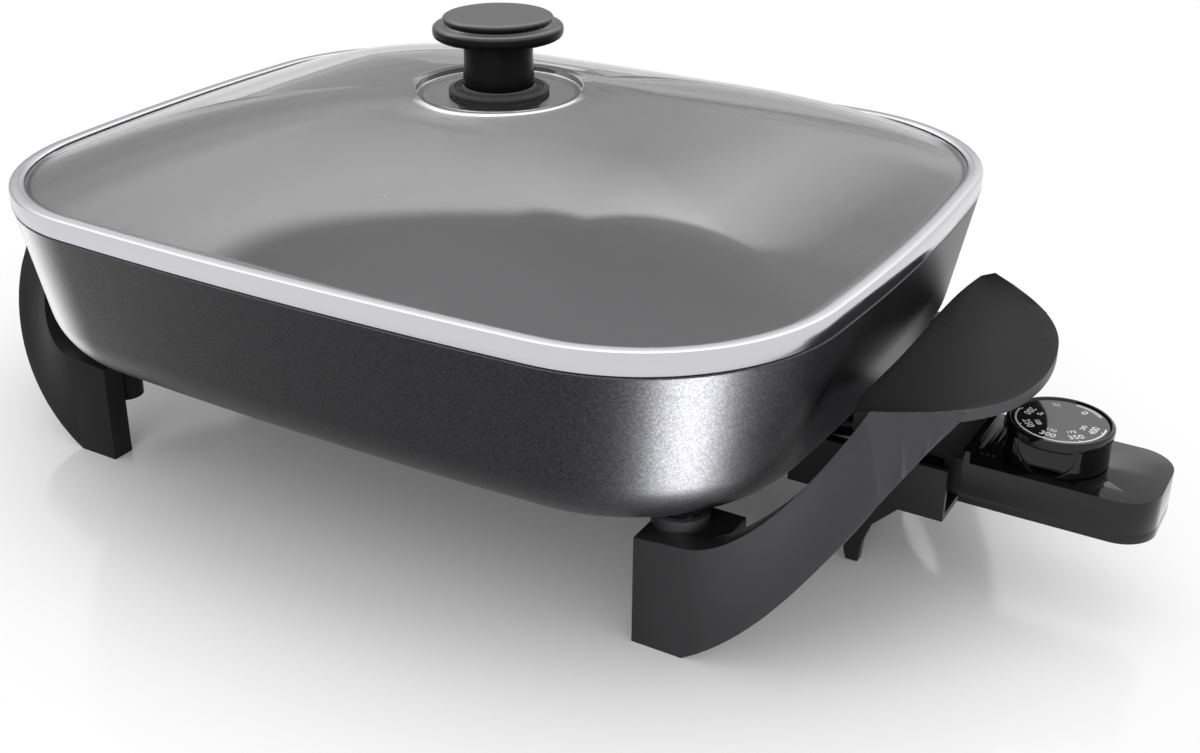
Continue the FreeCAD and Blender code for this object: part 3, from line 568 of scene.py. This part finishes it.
def dome_ring(k, inset, drop):
    """A ring of the dome at the share k of the way out from its middle."""
    ends, sides, corner = ((size - inset) * k for size in (HALF_LENGTH, HALF_WIDTH, CORNER))
    level = EDGE_HIGH + RISE * (1 - k ** DOME_POWER) - drop
    return outline(HALF_LENGTH - ends, HALF_WIDTH - sides, CORNER - corner, level)


def glass_rings():
    """Rings over the glass from its edge to the hole, and back below it. The recess is a soft step."""
    edge = [outline(i, i, i, z) for i, z in ((1.8, EDGE_LOW), (1.4, EDGE_LOW + 0.4), (1.4, EDGE_HIGH - 0.4),
                                             (1.8, EDGE_HIGH))]
    top = [dome_ring(k, TOP_INSET, 0.0) for k in DOME_SHARES]
    like = top[-1]
    near = EDGE_HIGH + RISE * (1 - RECESS_SHARE ** DOME_POWER)
    step = near - RECESS_LEVEL
    recess = [(RECESS + STEP_OUT - STEP_RUN * k, near - step * (3 * k * k - 2 * k ** 3))
              for k in STEP_SHARES]
    seat = [(SEAT_RADIUS, RECESS_LEVEL), (HOLE, RECESS_LEVEL)]
    recess = [(RECESS + APRON, near + APRON_RISE)] + recess + seat
    top += [circle(r, z, like) for r, z in recess]
    bottom = [circle(r, z - THICK, like) for r, z in recess[::-1]]
    bottom += [dome_ring(k, UNDER_INSET, THICK) for k in DOME_SHARES[::-1]]
    rim = [outline(RIM_INSET, RIM_INSET, RIM_INSET, EDGE_LOW)]
    return edge + top + bottom + rim


lid = skin("lid_dome", glass_rings(), looped=True)
dress(lid, glass)
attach(lid, "lid")
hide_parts("lid_glass")

# Band: rolled steel with a flat flange over the glass, a groove along it and a skirt over the pan

BAND_TOP, BAND_LOW, BAND_WIDTH, SHEET = 136.4, 127.9, 6.6, 0.9
BAND_SECTION = [(SHEET, BAND_LOW), (0.3, BAND_LOW + 0.02), (0.0, BAND_LOW + 0.4), (0.0, BAND_TOP - 1.6),
                (0.2, BAND_TOP - 0.75), (0.7, BAND_TOP - 0.2), (1.5, BAND_TOP), (3.9, BAND_TOP),
                (4.2, BAND_TOP - 0.35), (4.6, BAND_TOP - 0.35), (4.9, BAND_TOP), (6.2, BAND_TOP - 0.05),
                (BAND_WIDTH, BAND_TOP - 0.4), (BAND_WIDTH, EDGE_HIGH + 0.15), (BAND_WIDTH - 0.2, EDGE_HIGH),
                (SHEET + 0.6, EDGE_HIGH), (SHEET, EDGE_HIGH - 0.4)]
band = skin("lid_band", [outline(i, i, i, z) for i, z in BAND_SECTION], looped=True)
dress(band, steel)
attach(band, "lid")
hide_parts("lid_rim")

# Knob: turned crown on a wider disc, a thin groove between them, on a plain stem

KNOB_FOOT, KNOB_TOP = 171.4, 203.2
KNOB_SECTION = [(0.5, KNOB_FOOT), (14.9, KNOB_FOOT), (15.6, KNOB_FOOT + 0.3), (16.0, KNOB_FOOT + 1.1),
                (16.0, KNOB_FOOT + 3.0), (15.6, KNOB_TOP - 24.0), (15.4, KNOB_TOP - 19.0),
                (15.4, KNOB_TOP - 13.4), (15.7, KNOB_TOP - 12.0), (16.5, KNOB_TOP - 10.8),
                (17.8, KNOB_TOP - 10.0), (19.6, KNOB_TOP - 9.7), (26.6, KNOB_TOP - 9.6),
                (27.7, KNOB_TOP - 9.4), (28.5, KNOB_TOP - 8.8), (28.9, KNOB_TOP - 7.9),
                (29.0, KNOB_TOP - 6.9), (29.0, KNOB_TOP - 6.0), (28.8, KNOB_TOP - 5.1),
                (28.2, KNOB_TOP - 4.5), (27.2, KNOB_TOP - 4.1), (26.0, KNOB_TOP - 4.0),
                (25.3, KNOB_TOP - 4.2), (24.8, KNOB_TOP - 4.2), (24.4, KNOB_TOP - 3.8),
                (23.6, KNOB_TOP - 3.6), (23.4, KNOB_TOP - 3.4), (23.4, KNOB_TOP - 3.1),
                (24.0, KNOB_TOP - 3.0), (24.4, KNOB_TOP - 2.6), (24.6, KNOB_TOP - 2.0),
                (24.5, KNOB_TOP - 1.3), (24.1, KNOB_TOP - 0.7), (23.3, KNOB_TOP - 0.3),
                (22.0, KNOB_TOP - 0.12), (18.0, KNOB_TOP - 0.03), (10.0, KNOB_TOP), (0.5, KNOB_TOP)]
around = outline(0, 0, 0, 0)
knob = skin("lifting_knob", [circle(r, z, around) for r, z in KNOB_SECTION])
dress(knob, knob_black)
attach(knob, "lid")
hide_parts("lid_knob")

# Moulded pieces with their edges rounded. The legs' upper ends run up to the grip's rim: LEG_ENDS holds the
# lower corners of the leg's last section, outer and inner.

LEG_ENDS = (((234.95, -65.38, 89.61), (239.00, -53.19, 93.77)),
            ((232.25, -62.87, 85.42), (236.28, -51.29, 89.85)))
right = softened("right_handle", "grip_and_legs_right", 0.5, moves=LEG_ENDS)
softened("left_handle", "grip_and_legs_left", 0.5, moves=LEG_ENDS)
softened("control_cover", "control_case_top", 0.7)
softened("control_base", "control_case_base", 0.7)
softened("terminal_guard", "pin_guard", 0.5)
softened("dial_knob", "dial_grip", 0.35)

# Dial print: a scale that gets hotter round the dial, with small numbers inside the large ones

DIAL_X, PRINT_LEVEL, PRINT_THICK, PRINT_SPREAD = 261.5, 72.8, 0.06, 0.03
LARGE, SMALL = 4.3, 2.8
# Numbers: text, distance from the dial's middle, angle and size
NUMBERS = [("0", 13.6, 62.0, LARGE), ("200", 13.3, 168.0, LARGE), ("95", 9.2, 165.0, SMALL),
           ("250", 13.3, -143.0, LARGE), ("120", 9.2, -146.0, SMALL), ("300", 13.3, -97.0, LARGE),
           ("150", 9.2, -98.0, SMALL), ("350", 13.3, -50.0, LARGE), ("175", 9.2, -50.0, SMALL),
           ("400", 13.3, -6.0, LARGE), ("205", 9.2, -6.0, SMALL)]
# Arcs: inner and outer radius, first and last angle
ARCS = ((16.8, 17.5, -190.0, 6.0), (17.0, 17.5, 40.0, 84.0), (16.2, 16.5, 40.0, 84.0))
TICKS, TICK_IN, TICK_OUT, TICK_HALF = (168.0, -143.0, -97.0, -50.0, -6.0), 16.2, 16.9, 1.3
WAVE_RADIUS, WAVE_ANGLE, WAVE_LENGTH, WAVE_WIDTH, WAVE_SWING, WAVE_GAP = 14.2, 112.0, 2.6, 0.32, 0.38, 1.0
DEGREES_A_STEP, WAVE_STEPS = 3, 10


def on_dial(radius, angle):
    """Place on the dial's face, in metres, from a radius in millimetres and an angle from +X in degrees."""
    turn = math.radians(angle)
    return ((DIAL_X + radius * math.cos(turn)) * MM, radius * math.sin(turn) * MM, PRINT_LEVEL * MM)


def printed_word(text, radius, angle, size):
    """A number with its foot to the dial's edge."""
    deselect()
    bpy.ops.object.text_add(location=on_dial(radius, angle), rotation=(0, 0, math.radians(angle + 90)))
    word = bpy.context.object
    word.data.body = text
    word.data.size = size * MM
    word.data.align_x = "CENTER"
    word.data.align_y = "CENTER"
    word.data.extrude = PRINT_THICK * MM
    word.data.offset = PRINT_SPREAD * MM
    bpy.ops.object.convert(target="MESH")
    settle(word)
    return word


def thickened(sheet):
    """Give a flat sheet of print its thickness, downwards into the disc."""
    take(sheet)
    bpy.ops.object.mode_set(mode="EDIT")
    bpy.ops.mesh.select_all(action="SELECT")
    bpy.ops.mesh.extrude_region_move(TRANSFORM_OT_translate={"value": (0, 0, -2 * PRINT_THICK * MM)})
    bpy.ops.mesh.select_all(action="SELECT")
    bpy.ops.mesh.normals_make_consistent(inside=False)
    bpy.ops.object.mode_set(mode="OBJECT")
    return sheet


def printed_arc(inner, outer, start, stop):
    """A flat stripe round the dial between two angles."""
    deselect()
    steps = max(int(abs(stop - start) / DEGREES_A_STEP), 2)
    bpy.ops.mesh.primitive_grid_add(x_subdivisions=steps, y_subdivisions=1, size=1.0)
    stripe = bpy.context.object
    for vertex in stripe.data.vertices:
        share, side = vertex.co.x + 0.5, vertex.co.y + 0.5
        vertex.co = on_dial(outer + (inner - outer) * side, start + (stop - start) * share)
        vertex.co.z += PRINT_THICK * MM
    return thickened(stripe)


def warm_mark():
    """Three rising waves."""
    marks = []
    for k in (-1, 0, 1):
        deselect()
        bpy.ops.mesh.primitive_grid_add(x_subdivisions=WAVE_STEPS, y_subdivisions=1, size=1.0)
        wave = bpy.context.object
        for vertex in wave.data.vertices:
            up, side = vertex.co.x, vertex.co.y * WAVE_WIDTH
            across = side + WAVE_SWING * math.sin(up * 2 * math.pi) + WAVE_GAP * k
            radial = Vector(on_dial(WAVE_RADIUS + up * WAVE_LENGTH, WAVE_ANGLE))
            turn = math.radians(WAVE_ANGLE + 90.0)
            vertex.co = radial + Vector((math.cos(turn), math.sin(turn), 0)) * across * MM
            vertex.co.z += PRINT_THICK * MM
        marks.append(thickened(wave))
    return marks


printed = [printed_word(*row) for row in NUMBERS]
printed += [printed_arc(*row) for row in ARCS]
printed += [printed_arc(TICK_IN, TICK_OUT, a - TICK_HALF, a + TICK_HALF) for a in TICKS]
printed += warm_mark()
scale = joined("dial_scale", printed)
dress(scale, print_white)
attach(scale, "dial")

# Floor, light and backdrop

# The floor turns to plain white between two distances from the middle, sooner along Y by the stretch
FLOOR_FADE, FLOOR_STRETCH = (0.2, 0.44), 1.42
FLOOR_SIZE, STUDIO_GREY = 12.0, 0.9


def seen_directly(tree):
    """Two shares: 1 for a ray from the camera, a gloss or a glass, and 1 for a ray from a gloss only."""
    path = add(tree, "ShaderNodeLightPath")
    seen = path.outputs["Is Camera Ray"]
    for kind in ("Is Glossy Ray", "Is Transmission Ray"):
        seen = add(tree, "ShaderNodeMath", links={0: seen, 1: path.outputs[kind]},
                   operation="MAXIMUM").outputs["Value"]
    return seen, path.outputs["Is Glossy Ray"]


def make_floor():
    deselect()
    bpy.ops.mesh.primitive_plane_add(size=FLOOR_SIZE, location=(0, 0, 0))
    floor = bpy.context.object
    floor.name = "studio_floor"
    material, tree, shader, place = new_material("white_acrylic_floor", "F2F2F2", 0.0, 0.12, 1.49)
    smudges(tree, shader, place, 90.0, 0.1, 0.16)
    out = tree.nodes["Material Output"]
    flat = add(tree, "ShaderNodeVectorMath", {1: (1.0, FLOOR_STRETCH, 0.0)}, {0: place},
               operation="MULTIPLY")
    away = add(tree, "ShaderNodeVectorMath", links={0: flat.outputs["Vector"]}, operation="LENGTH")
    fade = add(tree, "ShaderNodeMapRange", {"From Min": FLOOR_FADE[0], "From Max": FLOOR_FADE[1]},
               {"Value": away.outputs["Value"]}, interpolation_type="SMOOTHSTEP")
    seen, _ = seen_directly(tree)
    share = add(tree, "ShaderNodeMath", links={0: seen, 1: fade.outputs["Result"]}, operation="MULTIPLY")
    white = add(tree, "ShaderNodeEmission", {"Color": (1, 1, 1, 1), "Strength": 1.0})
    mix = add(tree, "ShaderNodeMixShader", links={"Fac": share.outputs["Value"]})
    tree.links.new(shader.outputs["BSDF"], mix.inputs[1])
    tree.links.new(white.outputs["Emission"], mix.inputs[2])
    tree.links.new(mix.outputs["Shader"], out.inputs["Surface"])
    dress(floor, material)
    return floor


# What gloss and glass mirror to the left and behind: dim near the horizon, brightest at about 45 degrees,
# white above. Pairs of height (sine of the elevation) and brightness, set for the sheen on the lid.
BACKDROP = ((0.0, 0.5), (0.17, 0.52), (0.31, 0.66), (0.42, 1.0), (0.5, 1.2), (0.588, 1.75), (0.656, 2.25),
            (0.715, 2.8), (0.733, 2.9), (0.752, 1.1), (0.78, 1.0))
BACKDROP_PEAK = 3.0
# To the right of BACKDROP_FROM the bright band comes lower, by the lean. It fades out at the two edges.
BACKDROP_LEAN, BACKDROP_FROM = 0.72, 0.33
LEFT_EDGE, BEHIND_EDGE = (-0.02, -0.17), (-0.2, 0.1)


def backdrop(tree):
    """How bright the studio is in each direction, as mirrored by glass and gloss, and where it applies."""
    towards = add(tree, "ShaderNodeTexCoord").outputs["Generated"]
    facing = add(tree, "ShaderNodeSeparateXYZ", links={"Vector": towards})
    lean = add(tree, "ShaderNodeMath", {1: BACKDROP_LEAN, 2: BACKDROP_LEAN * BACKDROP_FROM},
               {0: facing.outputs["X"]}, operation="MULTIPLY_ADD")
    lean = add(tree, "ShaderNodeMath", {1: 0.0}, {0: lean.outputs["Value"]}, operation="MAXIMUM")
    height = add(tree, "ShaderNodeMath", links={0: lean.outputs["Value"], 1: facing.outputs["Z"]},
                 operation="ADD")
    ramp = add(tree, "ShaderNodeValToRGB", links={"Fac": height.outputs["Value"]})
    stops = ramp.color_ramp.elements
    while len(stops) < len(BACKDROP):
        stops.new(0.5)
    for stop, (level, _) in zip(stops, BACKDROP):
        stop.position = level
    for stop, (_, bright) in zip(stops, BACKDROP):
        stop.color = (bright / BACKDROP_PEAK,) * 3 + (1.0,)
    left = add(tree, "ShaderNodeMapRange", {"From Min": LEFT_EDGE[0], "From Max": LEFT_EDGE[1]},
               {"Value": facing.outputs["X"]})
    behind = add(tree, "ShaderNodeMapRange", {"From Min": BEHIND_EDGE[0], "From Max": BEHIND_EDGE[1]},
                 {"Value": facing.outputs["Y"]})
    share = add(tree, "ShaderNodeMath", links={0: left.outputs["Result"], 1: behind.outputs["Result"]},
                operation="MULTIPLY")
    return ramp.outputs["Color"], share.outputs["Value"]


def make_world():
    world = bpy.data.worlds.new("white_studio")
    bpy.context.scene.world = world
    world.use_nodes = True
    tree = world.node_tree
    background = tree.nodes["Background"]
    background.inputs["Color"].default_value = (STUDIO_GREY,) * 3 + (1.0,)
    background.inputs["Strength"].default_value = 1.0
    white = add(tree, "ShaderNodeBackground", {"Color": (1, 1, 1, 1), "Strength": 1.0})
    tone, share = backdrop(tree)
    sheen = add(tree, "ShaderNodeBackground", {"Strength": BACKDROP_PEAK}, {"Color": tone})
    seen, from_gloss = seen_directly(tree)
    mirrored = add(tree, "ShaderNodeMath", links={0: from_gloss, 1: share}, operation="MULTIPLY")
    bright = add(tree, "ShaderNodeMixShader", links={
        "Fac": mirrored.outputs["Value"], 1: white.outputs["Background"], 2: sheen.outputs["Background"]})
    mix = add(tree, "ShaderNodeMixShader", links={"Fac": seen})
    tree.links.new(background.outputs["Background"], mix.inputs[1])
    tree.links.new(bright.outputs["Shader"], mix.inputs[2])
    tree.links.new(mix.outputs["Shader"], tree.nodes["World Output"].inputs["Surface"])


def softbox(name, at, aim, size, watts):
    data = bpy.data.lights.new(name, "AREA")
    data.shape = "RECTANGLE"
    data.size, data.size_y = size
    data.energy = watts
    lamp = bpy.data.objects.new(name, data)
    bpy.context.scene.collection.objects.link(lamp)
    lamp.location = at
    lamp.rotation_euler = (Vector(aim) - Vector(at)).to_track_quat("-Z", "Y").to_euler()
    return lamp


def light_only(lamp, floor, lit):
    """Let a lamp light only the given pieces, and let the floor not stop its light."""
    blocks = bpy.data.collections.new(f"{lamp.name}_blockers")
    blocks.objects.link(floor)
    blocks.collection_objects[0].light_linking.link_state = "EXCLUDE"
    reach = bpy.data.collections.new(f"{lamp.name}_reach")
    for piece in lit:
        reach.objects.link(piece)
    lamp.light_linking.blocker_collection = blocks
    lamp.light_linking.receiver_collection = reach


# Lamps: place, aim, size of the face in metres, and watts. The two corner lights stand below the table.
LAMPS = {
    "overhead_softbox": ((-0.1, 0.3, 1.5), (0, 0, 0.1), (1.6, 1.2), 6.0),
    "right_corner_light": ((0.74, -0.42, -0.57), (0.165, -0.125, 0.09), (0.4, 0.4), 40.0),
    "right_leg_fill": ((1.4, -0.6, 0.3), (0.21, -0.11, 0.06), (0.6, 0.4), 76.0),
    "left_corner_light": ((-1.06, -0.02, -0.37), (-0.17, -0.12, 0.09), (0.5, 0.5), 3.0),
    "front_fill": ((0.5, -1.6, 0.35), (0.1, -0.1, 0.03), (1.0, 0.5), 9.0)}
LIT_ALONE = {"right_corner_light": [pan], "right_leg_fill": [right], "left_corner_light": [pan]}

studio_floor = make_floor()
make_world()
lamps = {name: softbox(name, *row) for name, row in LAMPS.items()}
for name, lit in LIT_ALONE.items():
    light_only(lamps[name], studio_floor, lit)
lamps["overhead_softbox"].visible_glossy = False
lamps["overhead_softbox"].visible_transmission = False
lamps["front_fill"].visible_glossy = False

# The knob's own mirror image in the glass comes out too dark, so mirrors and glass don't see the knob
for piece in (knob, nodes["knob_insert"], nodes["knob_screw"]):
    piece.visible_glossy = False
    piece.visible_transmission = False

bpy.context.scene.view_settings.view_transform = "Standard"
